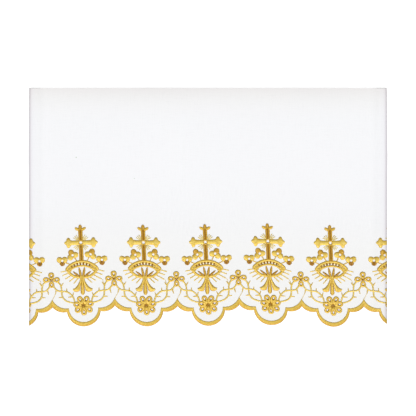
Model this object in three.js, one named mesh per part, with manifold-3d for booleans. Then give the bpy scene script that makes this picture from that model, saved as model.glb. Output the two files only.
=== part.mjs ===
// Altar cloth: a cut length of white linen with a gold embroidered, scalloped border.
// Millimetres, +Z up. It lies face up: X runs along the border and +Y away from it.
// The origin is the middle of the underside.
import * as THREE from 'three';
import { mergeVertices } from 'three/addons/utils/BufferGeometryUtils.js';
import Module from 'manifold-3d';

const wasm = await Module();
wasm.setup();

// Driving dimensions of the cloth
const clothWidth = 618;
const clothDepth = 412.4;
const linen = 1.2;
const gap = 0.3;
const stitchRelief = 1.0;
const bandRelief = 1.3;
const topTurn = 38;
const foldLoft = 4.2;
const hemRise = 1.4;

// Driving dimensions of the border, one repeat of which is a pitch long
const pitch = 108.3;
const motifHeight = 177;
const lean = -7.1;
const stemWidth = 2;
const thornWidth = 2;

// Where the middle of each repeat and each point between two repeats lies.
// at counts repeats, x is measured along the border, and rise is how far it lies above the first.
const repeats = [
  { at: -1, x: -320.5, rise: -1.3 },
  { at: -0.5, x: -266.8, rise: -1.9 },
  { at: 0, x: -213.7, rise: 0.0 },
  { at: 0.5, x: -159.0, rise: 1.2 },
  { at: 1, x: -105.5, rise: 0.0 },
  { at: 1.5, x: -51.1, rise: 0.3 },
  { at: 2, x: 1.2, rise: 0.9 },
  { at: 2.5, x: 55.6, rise: 2.8 },
  { at: 3, x: 109.1, rise: 2.3 },
  { at: 3.5, x: 163.4, rise: -0.3 },
  { at: 4, x: 216.8, rise: -0.7 },
  { at: 4.5, x: 270.5, rise: -0.6 },
  { at: 5, x: 324.3, rise: -0.2 },
];
const allRepeats = repeats.map(({ at }) => at).filter(Number.isInteger);
const wholeRepeats = allRepeats.slice(1, -1);
const lowestRise = Math.min(...wholeRepeats.map((k) => interpolate(repeats, 'at', 'rise', k)));
const footLine = -clothDepth / 2 - lowestRise;
const stitchFoot = linen + gap;
const stitchTop = stitchFoot + stitchRelief;

// Reads a column of a table between its rows
function interpolate(rows, key, column, value) {
  const last = rows.length - 2;
  let row = 0;
  while (row < last && value > rows[row + 1][key]) row += 1;
  const share = (value - rows[row][key]) / (rows[row + 1][key] - rows[row][key]);
  return rows[row][column] + share * (rows[row + 1][column] - rows[row][column]);
}

// Puts a point of repeat k on the cloth: u across from its middle, v up from the scallop's lowest point
function place(k, [u, v]) {
  const at = k + u / pitch;
  const x = interpolate(repeats, 'at', 'x', at) + (lean * v) / motifHeight;
  const y = footLine + v + interpolate(repeats, 'at', 'rise', at);
  return [x, y];
}

// Arc from one point to another whose middle stands off the chord by rise, to its left
function arc([x0, y0], [x1, y1], rise, steps) {
  const half = Math.hypot(x1 - x0, y1 - y0) / 2;
  const sweep = 4 * Math.atan(rise / half);
  const radius = half / Math.sin(sweep / 2);
  const along = Math.atan2(y1 - y0, x1 - x0);
  const points = [];
  for (let i = 0; i <= steps; i += 1) {
    const turn = (0.5 - i / steps) * sweep;
    const forward = half - radius * Math.sin(turn);
    const left = radius * (Math.cos(turn) - Math.cos(sweep / 2));
    const x = x0 + forward * Math.cos(along) - left * Math.sin(along);
    const y = y0 + forward * Math.sin(along) + left * Math.cos(along);
    points.push([x, y]);
  }
  return points;
}

// Outline of a ribbon of even width along a path
function ribbon(path, width) {
  const left = [];
  const right = [];
  path.forEach(([x, y], i) => {
    const [xa, ya] = path[Math.max(i - 1, 0)];
    const [xb, yb] = path[Math.min(i + 1, path.length - 1)];
    const length = Math.hypot(xb - xa, yb - ya);
    const nx = ((ya - yb) / length) * (width / 2);
    const ny = ((xb - xa) / length) * (width / 2);
    left.push([x + nx, y + ny]);
    right.push([x - nx, y - ny]);
  });
  return [...left, ...right.reverse()];
}

function ellipse([x, y], across, along, turn, sides) {
  const points = [];
  for (let i = 0; i < sides; i += 1) {
    const a = (2 * Math.PI * i) / sides;
    const p = (along / 2) * Math.cos(a);
    const q = (across / 2) * Math.sin(a);
    points.push([x + p * Math.cos(turn) - q * Math.sin(turn), y + p * Math.sin(turn) + q * Math.cos(turn)]);
  }
  return points;
}

const mirrored = (points) => points.map(([u, v]) => [-u, v]);

// Turns a closed geometry into a solid that can be joined and cut
function solidOf(geometry) {
  geometry.deleteAttribute('normal');
  geometry.deleteAttribute('uv');
  const merged = mergeVertices(geometry, 1e-4);
  return new wasm.Manifold(new wasm.Mesh({
    numProp: 3,
    vertProperties: new Float32Array(merged.attributes.position.array),
    triVerts: new Uint32Array(merged.index.array),
  }));
}

function geometryOf(solid) {
  const mesh = solid.getMesh();
  const geometry = new THREE.BufferGeometry();
  geometry.setAttribute('position', new THREE.BufferAttribute(new Float32Array(mesh.vertProperties), 3));
  geometry.setIndex(Array.from(mesh.triVerts));
  return geometry;
}

// Upright slab of an outline with its holes, between two heights
function slab(outline, holes, low, high) {
  const vectors = (points) => points.map(([x, y]) => new THREE.Vector2(x, y));
  const shape = new THREE.Shape(vectors(outline));
  shape.holes = holes.map((hole) => new THREE.Path(vectors(hole)));
  const geometry = new THREE.ExtrudeGeometry(shape, { depth: high - low, bevelEnabled: false });
  geometry.translate(0, 0, low);
  return solidOf(geometry);
}

// Closed body through a row of sections that all have the same number of points
function loftThrough(sections) {
  const count = sections[0].length;
  const rings = sections.length;
  const positions = sections.flat(2);
  const index = [];
  for (let i = 0; i + 1 < rings; i += 1) {
    for (let j = 0; j < count; j += 1) {
      const a = i * count + j;
      const b = i * count + ((j + 1) % count);
      index.push(a, b, a + count, b, b + count, a + count);
    }
  }
  const section = sections[0].map(([, y, z]) => new THREE.Vector2(y, z));
  const start = (rings - 1) * count;
  THREE.ShapeUtils.triangulateShape(section, []).forEach(([a, b, c]) => {
    index.push(a, c, b);
    index.push(start + a, start + b, start + c);
  });
  const geometry = new THREE.BufferGeometry();
  geometry.setAttribute('position', new THREE.BufferAttribute(new Float32Array(positions), 3));
  geometry.setIndex(index);
  return solidOf(geometry);
}

const joined = (solids) => solids.reduce((whole, piece) => whole.add(piece));
const largestBody = (solid) => solid.decompose().reduce((a, b) => (b.volume() > a.volume() ? b : a));

// The block that a piece is cut to where the border runs off the side of the cloth
const insideSides = solidOf(new THREE.BoxGeometry(clothWidth, 2 * clothDepth, 20 * linen));

// Scalloped edge of one half repeat, from the middle of the large scallop to the point between repeats
const notch = [29.3, 25.6];
const cusp = [pitch / 2, 34.5];
const innerNotch = [25.5, 32.4];
const innerCusp = [pitch / 2, 47.3];
const innerLow = 7.6;
const smallSag = 3.7;
const innerSmallSag = 5.6;
const largeSteps = 12;
const smallSteps = 5;

function scallopEdge() {
  const [[leftNotch], [leftInner]] = [mirrored([notch]), mirrored([innerNotch])];
  const outerLarge = arc(leftNotch, notch, -notch[1], largeSteps).slice(largeSteps / 2);
  const innerLarge = arc(leftInner, innerNotch, innerLow - innerNotch[1], largeSteps).slice(largeSteps / 2);
  const outerSmall = arc(notch, cusp, -smallSag, smallSteps).slice(1);
  const innerSmall = arc(innerNotch, innerCusp, -innerSmallSag, smallSteps).slice(1);
  return { outer: [...outerLarge, ...outerSmall], inner: [...innerLarge, ...innerSmall] };
}

// The edge's stations over every repeat, each with a point on its outer and its inner side
function edgeStations() {
  const { outer, inner } = scallopEdge();
  const stations = [];
  allRepeats.forEach((k) => {
    for (let side = -1; side <= 1; side += 2) {
      const order = outer.map((point, i) => i);
      const rows = side < 0 ? order.reverse().slice(0, -1) : order.slice(0, -1);
      rows.forEach((i) => {
        const [ou, ov] = outer[i];
        const [iu, iv] = inner[i];
        stations.push({ outer: place(k, [side * ou, ov]), inner: place(k, [side * iu, iv]) });
      });
      if (side < 0) stations.push({ outer: place(k, outer[0]), inner: place(k, inner[0]) });
    }
  });
  return stations.filter(({ outer: [x] }, i, all) => i === 0 || x > all[i - 1].outer[0] + 0.01);
}

const stations = edgeStations();

// Fold line of the top margin: drop is how far it lies below its highest place
const foldLine = [
  { x: -309, drop: 1.2, loft: 0.85 },
  { x: -190, drop: 0.3, loft: 1.0 },
  { x: -70, drop: 0.0, loft: 1.12 },
  { x: 60, drop: 0.5, loft: 0.95 },
  { x: 200, drop: 0.2, loft: 1.05 },
  { x: 309, drop: 0.9, loft: 0.9 },
];

// Middle line of the linen across the top fold, from the border up, round the fold and back under.
// y runs from the fold, z is the height over a flat sheet, and lift is the share of the loft on top.
const foldPath = [
  { y: -226, z: 0, lift: 0 },
  { y: -206, z: 0, lift: 0 },
  { y: -170, z: 0, lift: 0.1 },
  { y: -135, z: 0, lift: 0.4 },
  { y: -100, z: 0, lift: 0.82 },
  { y: -72, z: 0, lift: 1 },
  { y: -50, z: 0, lift: 0.97 },
  { y: -36, z: 0, lift: 0.9 },
  { y: -22, z: 0, lift: 0.78 },
  { y: -11, z: 0, lift: 0.6 },
  { y: -5, z: 0.1, lift: 0.5 },
  { y: -1.6, z: 0.2, lift: 0.38 },
  { y: -0.6, z: 0.3, lift: 0.22 },
  { y: -1.6, z: 0.1, lift: 0.06 },
  { y: -5, z: 0, lift: 0 },
  { y: -topTurn, z: 0, lift: 0 },
];
const borderTop = -215;

// The turned side hem stands proud of the face above the border: inset is measured from the side.
// It runs over the points hemStart to hemEnd of the fold's middle line.
const hemProfile = [
  { inset: 0, share: 0 },
  { inset: 3, share: 0.75 },
  { inset: 9, share: 1 },
  { inset: 14, share: 0.8 },
  { inset: 25, share: 0 },
];
const hemStart = 2;
const hemEnd = 10;

function linenPanel() {
  const edge = clothWidth / 2;
  const sides = hemProfile.map(({ inset, share }) => ({ x: edge - inset, rise: share * hemRise }));
  const middles = foldLine.slice(1, -1).map(({ x }) => ({ x, rise: 0 }));
  const left = sides.map(({ x, rise }) => ({ x: -x, rise }));
  const sections = [...left, ...middles, ...sides.reverse()].map(({ x, rise }) => {
    const loft = interpolate(foldLine, 'x', 'loft', x) * foldLoft;
    const fold = clothDepth / 2 - interpolate(foldLine, 'x', 'drop', x);
    const path = foldPath.map(({ y, z, lift }) => [fold + y, linen / 2 + z + lift * loft]);
    const section = ribbon(path, linen).map(([y, z], i) => {
      const onHem = i >= hemStart && i <= hemEnd;
      return [x, y, Math.max(z, 0) + (onHem ? rise : 0)];
    });
    return section.reverse();
  });
  return loftThrough(sections);
}

function cloth() {
  const low = stations.map(({ outer }) => outer);
  const join = clothDepth / 2 + borderTop;
  const outline = [...low, [low[low.length - 1][0], join], [low[0][0], join]];
  const border = slab(outline, [], 0, linen).intersect(insideSides);
  return linenPanel().add(border);
}

// The satin edge: a rounded ribbon that lies along the scallops
function edgeBand() {
  const low = stitchFoot;
  const sections = stations.map(({ outer, inner }) => {
    const at = (share, height) => {
      const x = outer[0] + share * (inner[0] - outer[0]);
      const y = outer[1] + share * (inner[1] - outer[1]);
      return [x, y, low + height];
    };
    const shoulder = 0.55 * bandRelief;
    return [at(0, 0), at(1, 0), at(1, shoulder), at(0.5, bandRelief), at(0, shoulder)];
  });
  return loftThrough(sections).intersect(insideSides);
}

// Outline of a flower of round petals about a centre, with valleys between them
const petalShares = [-0.96, -0.62, 0, 0.62, 0.96];

function flowerOutline({ centre, petals, petalRadius, valley }) {
  const outline = [];
  petals.forEach(({ turn, reach }, i) => {
    const next = petals[(i + 1) % petals.length];
    const half = Math.min(Math.asin(petalRadius / reach), Math.PI / petals.length);
    petalShares.forEach((share) => {
      const a = share * half;
      const back = Math.max(petalRadius ** 2 - (reach * Math.sin(a)) ** 2, 0);
      const r = reach * Math.cos(a) + Math.sqrt(back);
      outline.push([centre[0] + r * Math.cos(turn + a), centre[1] + r * Math.sin(turn + a)]);
    });
    const between = (turn + next.turn + (next.turn < turn ? 2 * Math.PI : 0)) / 2;
    outline.push([centre[0] + valley * Math.cos(between), centre[1] + valley * Math.sin(between)]);
  });
  return outline;
}

// The bare slit in the middle of each petal, longer away from the centre than across
function petalSlits({ centre, petals, slitAcross, slitAlong }) {
  return petals.map(({ turn, slitAt }) => {
    const middle = [centre[0] + slitAt * Math.cos(turn), centre[1] + slitAt * Math.sin(turn)];
    return ellipse(middle, slitAcross, slitAlong, turn, 6);
  });
}

const petalCount = 7;
const rosette = {
  centre: [0.3, 36.4],
  petals: Array.from({ length: petalCount }, (_, i) => ({
    turn: -Math.PI / 2 + (2 * Math.PI * i) / petalCount,
    reach: 12,
    slitAt: 10.8,
  })),
  petalRadius: 4.9,
  valley: 9,
  slitAcross: 2.6,
  slitAlong: 5,
};

const quatrefoil = {
  centre: [pitch / 2, 81.6],
  petals: [
    { turn: 0, reach: 9.3, slitAt: 8.6 },
    { turn: Math.PI / 2, reach: 7.8, slitAt: 7.4 },
    { turn: Math.PI, reach: 9.3, slitAt: 8.6 },
    { turn: 1.5 * Math.PI, reach: 8.3, slitAt: 7.8 },
  ],
  petalRadius: 4.9,
  valley: 4.4,
  slitAcross: 2.4,
  slitAlong: 3.8,
};

// The two thorn stems that climb from the rosette to the quatrefoil, and their thorns
const stems = [
  [[14.5, 40.7], [23.4, 42.6], [31, 46.1], [36.2, 53.5], [37.2, 66.9], [39.6, 74.4], [45.5, 79.8]],
  [[14, 39.7], [16.3, 49.1], [21, 56], [28.3, 60.8], [42, 62.4], [47.6, 66.3], [51.7, 72.4]],
];
const thorns = [
  { root: [35, 51.3], tip: [41.6, 51.1] },
  { root: [37.6, 70.1], tip: [33.9, 75.7] },
  { root: [28, 60], tip: [28, 66] },
  { root: [18.3, 52.3], tip: [16.2, 58.2] },
  { root: [18.2, 51.5], tip: [24.8, 51.1] },
  { root: [46.3, 64.9], tip: [47.8, 57] },
];

// A thorn stands on its stem and comes to a point
function thornOutline({ root: [x, y], tip: [tx, ty] }) {
  const length = Math.hypot(tx - x, ty - y);
  const nx = ((y - ty) / length) * (thornWidth / 2);
  const ny = ((tx - x) / length) * (thornWidth / 2);
  return [[x + nx, y + ny], [x - nx, y - ny], [tx, ty]];
}

const stitched = (k, outline, holes = []) => {
  const put = (points) => points.map((point) => place(k, point));
  return slab(put(outline), holes.map(put), stitchFoot, stitchTop);
};

function vine() {
  const pieces = [];
  const spray = (k, side) => {
    const turned = side < 0 ? mirrored : (points) => points;
    stems.forEach((path) => pieces.push(stitched(k, turned(ribbon(path, stemWidth)))));
    thorns.forEach((thorn) => pieces.push(stitched(k, turned(thornOutline(thorn)))));
  };
  allRepeats.forEach((k) => {
    if (k > allRepeats[0]) spray(k, -1);
    pieces.push(stitched(k, flowerOutline(rosette), petalSlits(rosette)));
    if (k < allRepeats[allRepeats.length - 1]) {
      spray(k, 1);
      pieces.push(stitched(k, flowerOutline(quatrefoil), petalSlits(quatrefoil)));
    }
  });
  // The side cuts the tip of one petal off from the rest, a crumb too small for a piece
  return largestBody(joined(pieces).intersect(insideSides));
}

// Cross with budded ends, and the bare spot at its middle
const crossCentre = [0, 144.8];
const shaft = 3.4;
const arm = 3.8;
const armEnd = [[14, arm], [18.4, 5.2], [20.3, 8.4], [22.2, 8.4], [23.8, 4.4], [28.4, 0]];
const headEnd = [[shaft, 19.4], [4.6, 20.6], [8.3, 23.4], [7.8, 25.4], [3.2, 26.2], [0, 30.5]];
const crossFoot = 111.6;
const crossSpot = ellipse(crossCentre, 5, 5, 0, 8);

function crossOutline() {
  const [cu, cv] = crossCentre;
  const right = [
    ...headEnd.slice().reverse(),
    [shaft, arm],
    ...armEnd,
    ...armEnd.slice(0, -1).reverse().map(([u, v]) => [u, -v]),
    [shaft, -arm],
    [shaft, crossFoot - cv],
  ];
  const left = mirrored(right.slice(1)).reverse();
  return [...right, ...left].map(([u, v]) => [cu + u, cv + v]);
}

// Crown band with rounded ends
const crownOuterRise = 13.1;
const crownInnerRise = 7.8;
const crownOuter = arc([28.5, 101.4], [-28.1, 101.4], -crownOuterRise, 8);
const crownInner = arc([-21, 95.5], [21.9, 95.5], crownInnerRise, 6);
const crownEnd = [[-28.9, 97.4], [-26, 94.4]];
const crownOutline = [...crownOuter, ...crownEnd, ...crownInner, [26.3, 94.4], [29.3, 97.4]];

const lidPath = [[25, 96.3], [20, 91.0], [12.7, 86.6], [0, 85.3]];
const lidWidth = 2.4;

// Four spear leaves that fan out of the foot
const leafWidth = 3.2;
const leaves = [
  { base: [-3, 84.8], tip: [-14.7, 95.2] },
  { base: [-1.8, 85.7], tip: [-4.2, 101.8] },
  { base: [1.8, 85.7], tip: [5.4, 101.8] },
  { base: [3, 84.8], tip: [16, 95.2] },
];

function leafOutline({ base, tip }) {
  const along = [tip[0] - base[0], tip[1] - base[1]];
  const length = Math.hypot(...along);
  const across = [(-along[1] / length) * leafWidth, (along[0] / length) * leafWidth];
  const at = (share, half) => [
    base[0] + share * along[0] + half * across[0],
    base[1] + share * along[1] + half * across[1],
  ];
  return [at(0, -0.35), at(0.45, -0.5), at(1, 0), at(0.45, 0.5), at(0, 0.35)];
}

// Lily foot: two curling lobes and a bud between them, right half from the top down
const footHalf = [
  [4.2, 87.5], [3.6, 79], [5.8, 73], [9.4, 68.6], [13, 66], [16.6, 64.9], [15.6, 62], [11.6, 59.9],
  [7, 60], [4.2, 61.4], [3.6, 58.6], [2.2, 56], [0, 54.6],
];
const footOutline = [...footHalf, ...mirrored(footHalf.slice(0, -1)).reverse()];

// Three-petalled flowers on stalks: centre with its bare spot, petals, and the stalk from the crown
const trefoilPetalRadius = 4.7;
const trefoilValley = 3.9;
const trefoilSpot = 4.2;
const stalkWidth = 1.5;
const trefoils = {
  innerLeft: {
    centre: [-15, 123.7],
    petals: [[-9.9, 124.3], [-17.2, 128.1], [-19.3, 119.9]],
    stalk: [[-7.5, 111.4], [-12.9, 120.5]],
  },
  outerLeft: {
    centre: [-33.7, 114.4],
    petals: [[-29.4, 116.4], [-38.2, 116.4], [-33.9, 109.6]],
    stalk: [[-19.8, 106.9], [-30.8, 112.2]],
  },
  innerRight: {
    centre: [16.3, 124.4],
    petals: [[18.9, 128.6], [11.4, 124.2], [21.2, 120.9]],
    stalk: [[9, 111.4], [14.3, 121.1]],
  },
  outerRight: {
    centre: [35.2, 114.6],
    petals: [[39.6, 116.8], [30.8, 116.4], [35, 109.8]],
    stalk: [[21.4, 106.9], [32.4, 112.4]],
  },
};

const crossPiece = (k) => stitched(k, crossOutline(), [crossSpot]);

function trefoilPiece(k, { centre, petals, stalk }) {
  const rows = petals.map(([x, y]) => ({
    turn: Math.atan2(y - centre[1], x - centre[0]),
    reach: Math.hypot(x - centre[0], y - centre[1]),
  }));
  const outline = flowerOutline({
    centre,
    petals: rows,
    petalRadius: trefoilPetalRadius,
    valley: trefoilValley,
  });
  const spot = ellipse(centre, trefoilSpot, trefoilSpot, 0, 6);
  return stitched(k, outline, [spot]).add(stitched(k, ribbon(stalk, stalkWidth)));
}

const crownPiece = (k) => joined([
  stitched(k, crownOutline),
  stitched(k, ribbon(lidPath, lidWidth)),
  stitched(k, ribbon(mirrored(lidPath), lidWidth)),
  ...leaves.map((leaf) => stitched(k, leafOutline(leaf))),
  stitched(k, footOutline),
]);

const crossAndCrown = (k) => joined([
  crossPiece(k),
  crownPiece(k),
  ...Object.values(trefoils).map((row) => trefoilPiece(k, row)),
]);

// What shows of a repeat whose middle lies past the side of the cloth
const crownEndPiece = (k, side) => {
  const turned = side < 0 ? mirrored : (points) => points;
  const trefoil = side < 0 ? trefoils.outerLeft : trefoils.outerRight;
  const band = joined([
    stitched(k, crownOutline),
    stitched(k, turned(ribbon(lidPath.slice(0, 3), lidWidth))),
  ]);
  return band.add(trefoilPiece(k, trefoil)).intersect(insideSides);
};

// Materials
const gold = { roughness: 0.42, metalness: 0.55 };
const palette = {
  linen: { color: 0xf5f6f8, roughness: 0.85, metalness: 0 },
  goldEdge: { color: 0xdcbb66, ...gold },
  goldVine: { color: 0xd9bf72, ...gold },
  goldCross: { color: 0xd3ad5c, ...gold },
};

const altarCloth = new THREE.Group();

function add(name, solid, look) {
  const geometry = geometryOf(solid);
  geometry.computeVertexNormals();
  const mesh = new THREE.Mesh(geometry, new THREE.MeshStandardMaterial(look));
  mesh.name = name;
  altarCloth.add(mesh);
}

add('cloth', cloth(), palette.linen);
add('scallop_edge', edgeBand(), palette.goldEdge);
add('thorn_vine', vine(), palette.goldVine);
wholeRepeats.forEach((k) => add(`cross_and_crown_${k + 1}`, crossAndCrown(k), palette.goldCross));

const [offLeft] = allRepeats;
const offRight = allRepeats[allRepeats.length - 1];
add('cross_arm_left', crossPiece(offLeft).intersect(insideSides), palette.goldCross);
add('crown_end_left', crownEndPiece(offLeft, 1), palette.goldCross);
add('trefoil_left', trefoilPiece(offLeft, trefoils.innerRight).intersect(insideSides), palette.goldCross);
add('cross_arm_right', crossPiece(offRight).intersect(insideSides), palette.goldCross);
add('crown_end_right', crownEndPiece(offRight, -1), palette.goldCross);
add('trefoil_right', trefoilPiece(offRight, trefoils.innerLeft).intersect(insideSides), palette.goldCross);

export default altarCloth;
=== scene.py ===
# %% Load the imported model
import math

import bpy
import numpy as np
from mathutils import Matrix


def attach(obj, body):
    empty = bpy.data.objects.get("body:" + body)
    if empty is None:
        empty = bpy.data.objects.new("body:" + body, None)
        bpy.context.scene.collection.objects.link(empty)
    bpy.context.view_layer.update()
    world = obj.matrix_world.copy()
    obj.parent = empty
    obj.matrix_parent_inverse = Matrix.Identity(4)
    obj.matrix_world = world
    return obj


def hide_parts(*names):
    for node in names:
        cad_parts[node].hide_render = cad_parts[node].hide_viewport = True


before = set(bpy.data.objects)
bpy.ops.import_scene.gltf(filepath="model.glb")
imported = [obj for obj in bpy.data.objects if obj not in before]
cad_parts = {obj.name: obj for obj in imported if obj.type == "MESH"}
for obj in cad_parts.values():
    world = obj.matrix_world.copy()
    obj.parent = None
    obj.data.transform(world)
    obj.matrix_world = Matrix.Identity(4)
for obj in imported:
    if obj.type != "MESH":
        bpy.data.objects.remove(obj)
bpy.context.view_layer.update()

print("packed nodes:", len(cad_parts))

# %% [markdown]
# # An altar cloth with a gold embroidered border
# The cloth lies face up on a pale floor, the scalloped border towards us and a folded margin at the top.
# All tables here are in millimetres, because a needleworker measures so. One helper turns them into metres.
#
# Order of work: the border's layout, the lie of the linen, the linen sheet, the satin stitches,
# and then the finishes, the light and the camera.

# %% [markdown]
# ## The layout of the border
# The motif repeats every 108 mm, but a worked border never repeats exactly. So a short table says where each
# repeat and half repeat stands and how far it rises, and the whole border leans 7 mm to one side.
# `place` turns a motif's own measures into a point on the cloth, and every later step uses it.

# %% The layout of the border
MM = 0.001
CLOTH_WIDTH = 618
CLOTH_DEPTH = 412.4
PITCH = 108.3
MOTIF_HEIGHT = 177
LEAN = -7.1
REPEAT_AT = np.arange(-1, 5.5, 0.5)
REPEAT_X = [-320.5, -266.8, -213.7, -159.0, -105.5, -51.1, 1.2, 55.6, 109.1, 163.4, 216.8, 270.5, 324.3]
REPEAT_RISE = [-1.3, -1.9, 0.0, 1.2, 0.0, 0.3, 0.9, 2.8, 2.3, -0.3, -0.7, -0.6, -0.2]
FOOT_LINE = -CLOTH_DEPTH / 2 - min(REPEAT_RISE[2:-1:2])
ALL_REPEATS = range(-1, 6)
WHOLE_REPEATS = range(0, 5)


def place(k, points):
    """Points (u, v) of repeat k on the cloth: u across from its middle, v up from the scallop's foot."""
    u, v = np.asarray(points, float).T
    at = k + u / PITCH
    x = np.interp(at, REPEAT_AT, REPEAT_X) + LEAN * v / MOTIF_HEIGHT
    y = FOOT_LINE + v + np.interp(at, REPEAT_AT, REPEAT_RISE)
    return np.column_stack([x, y])


print("foot of the middle scallop:", place(2, [(0, 0)])[0])

# %% [markdown]
# ## The scallops
# One large scallop stands under each cross, and two small ones join it to the next.
# Each is an arc that is given by its two ends and by how far its middle stands off the line between them.
# The satin edge has an outer and an inner arc, and the threads run from one to the other.

# %% Arcs and the two lines of the edge
OUTER_ARCS = {"notch": (29.3, 25.6), "cusp": (PITCH / 2, 34.5), "low": 0, "sag": 3.7}
INNER_ARCS = {"notch": (25.5, 32.4), "cusp": (PITCH / 2, 48.8), "low": 7.9, "sag": 5.6}
LARGE_STEPS, SMALL_STEPS = 48, 20


def arc(start, end, rise, steps):
    """Points from start to end on an arc whose middle stands rise to the left of the chord."""
    start, end = np.array(start, float), np.array(end, float)
    half = np.hypot(*(end - start)) / 2
    sweep = 4 * math.atan(rise / half)
    radius = half / math.sin(sweep / 2)
    turn = (0.5 - np.linspace(0, 1, steps + 1)) * sweep
    forward = (end - start) / (2 * half)
    left = np.array([-forward[1], forward[0]])
    along = half - radius * np.sin(turn)
    off = radius * (np.cos(turn) - math.cos(sweep / 2))
    return start + along[:, None] * forward + off[:, None] * left


def edge_line(arcs):
    """One line of the satin edge, over every repeat."""
    notch, cusp = arcs["notch"], arcs["cusp"]
    left_notch, left_cusp = (-notch[0], notch[1]), (-cusp[0], cusp[1])
    one = [
        arc(left_cusp, left_notch, -arcs["sag"], SMALL_STEPS)[:-1],
        arc(left_notch, notch, arcs["low"] - notch[1], LARGE_STEPS)[:-1],
        arc(notch, cusp, -arcs["sag"], SMALL_STEPS)[:-1],
    ]
    return np.concatenate([place(k, np.concatenate(one)) for k in ALL_REPEATS])


outer_line, inner_line = edge_line(OUTER_ARCS), edge_line(INNER_ARCS)
print("edge: x from", outer_line[:, 0].min().round(1), "to", outer_line[:, 0].max().round(1))

# %% [markdown]
# ## How the linen lies
# The sheet isn't quite flat. Its top margin is folded back and rises a few millimetres in a soft roll.
# The sides are hemmed, and the doubled linen stands a little proud and droops at the very edge.
# One pressed crease runs down the middle, and the tight stitching puckers the linen above two of the crosses.
# A single height function holds all of it, so that the linen and every stitch on it use the same surface.

# %% Measures of the lie
EDGE = CLOTH_WIDTH / 2
FLAT_HEIGHT = 0.75
LONG_WAVE, SHORT_WAVE = 0.10, 0.05
HEM = {"lift": 3.2, "ends": 27, "slope": 16, "droop": 2.5, "droop_ends": 6.5}
ROLL = {"loft": 6.4, "ends": 240, "slope": 235, "fall": 0.423, "fall_ends": 72, "fall_power": 4.2}
FOLD_LINE = {
    "x": [-309, -285, -190, -70, 60, 200, 285, 309],
    "drop": [0.95, 0.65, 0.55, 0.6, 0.55, 0.6, 0.65, 0.95],
    "loft": [0.88, 0.9, 1.0, 1.1, 0.95, 1.05, 0.92, 0.9],
}
CREASE = {"x": -41.9, "low": -84, "high": 136.8, "blur": 30, "height": 0.35, "width": 1.5}
PUCKERS = [
    {"x": (-83, 72), "y": (-39, 30), "wave": 8.2, "height": 0.17},
    {"x": (210, 279), "y": (-48, -5), "wave": 7.4, "height": 0.14},
]
PUCKER_BLUR_X, PUCKER_BLUR_Y, PUCKER_SWAY = 26, 24, 1.4
print("the roll rises about", ROLL["loft"], "mm, the hems", HEM["lift"], "mm")

# %% The height of the linen's face


def soft_step(t):
    """0 below 0, 1 above 1, and a smooth slope between them."""
    t = np.clip(t, 0, 1)
    return t * t * (3 - 2 * t)


def window(value, low, high, blur):
    """1 between low and high, 0 outside, with both ends softened over blur."""
    return soft_step((value - low) / blur + 0.5) * soft_step((high - value) / blur + 0.5)


def fold_y(x):
    return CLOTH_DEPTH / 2 - np.interp(x, FOLD_LINE["x"], FOLD_LINE["drop"])


def hem_rise(x):
    """How much of the hem's lift is reached at x: 0 on the panel, 1 at the sides."""
    return soft_step((HEM["ends"] - (EDGE - np.abs(x))) / HEM["slope"])


def linen_height(x, y):
    """Height of the linen's face over the floor, in millimetres."""
    droop = HEM["droop"] * np.clip(1 - (EDGE - np.abs(x)) / HEM["droop_ends"], 0, 1) ** 2
    below = fold_y(x) - y
    fall = ROLL["fall"] * np.clip(1 - below / ROLL["fall_ends"], 0, 1) ** ROLL["fall_power"]
    roll = soft_step((ROLL["ends"] - below) / ROLL["slope"]) - fall
    loft = ROLL["loft"] * np.interp(x, FOLD_LINE["x"], FOLD_LINE["loft"])
    height = FLAT_HEIGHT + (HEM["lift"] * hem_rise(x) - droop) + loft * roll
    # Linen never lies dead flat: long, shallow waves, and shorter ones that slant across
    height += LONG_WAVE * np.sin(x / 47 + 0.6 * np.sin(y / 61)) * np.cos(y / 53 + 0.4)
    height += SHORT_WAVE * np.sin(x / 19 + y / 31)
    across = (x - CREASE["x"]) / CREASE["width"]
    height += CREASE["height"] * np.exp(-across**2) * window(y, CREASE["low"], CREASE["high"], CREASE["blur"])
    for row in PUCKERS:
        inside = window(x, *row["x"], PUCKER_BLUR_X) * window(y, *row["y"], PUCKER_BLUR_Y)
        swayed = x + PUCKER_SWAY * np.sin(y / 15 + x / 40)
        height += row["height"] * inside * np.sin(2 * math.pi * swayed / row["wave"])
    return height


print("face of the linen: middle", linen_height(0.0, 0.0).round(2), "fold", linen_height(0.0, 134.0).round(2))

# %% [markdown]
# ## The linen sheet
# The cloth is one grid of points. In its lowest row the columns stand evenly along the scallops. By the top of
# the border they stand evenly across, and above it they crowd a little at the crease and the puckers.
# At the top the rows go round the fold and 38 mm back beneath it.
# At the sides the columns go round the hem in the same way, 11 mm back under the face.
# A Solidify modifier gives the sheet its half millimetre of linen. A cloth simulation could lay such a sheet
# too, but a grid puts every fold exactly where the real cloth has it.

# %% Columns of the sheet
HEM_TURN, TOP_TURN = 11, 38
LAYER = 1.15
HEM_BULGE = 0.55
HEM_ZONE = 28
MIDDLE_COLUMNS = 300
UNDER_THE_EDGE = 0.6
UNDER_LAYER_SHORTER = 2.2
CROWD_AT_CREASE, CROWD_AT_PUCKERS, CREASE_REACH = 2.2, 0.5, 4

round_the_hem = np.radians([180, 144, 108, 72, 36, 0])
hem_columns = [(HEM_TURN, LAYER), (8, LAYER), (5, LAYER), (2.2, LAYER)]
hem_columns += [(HEM_BULGE * (1 - math.sin(t)), LAYER / 2 * (1 - math.cos(t))) for t in round_the_hem]
hem_columns += [(inset, 0) for inset in (1.1, 1.8, 2.7, 3.8, 5.1, 6.7, 8.6, 10.9, 13.6, 16.8, 20.4, 24.2)]
middle_start = EDGE - HEM_ZONE

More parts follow.
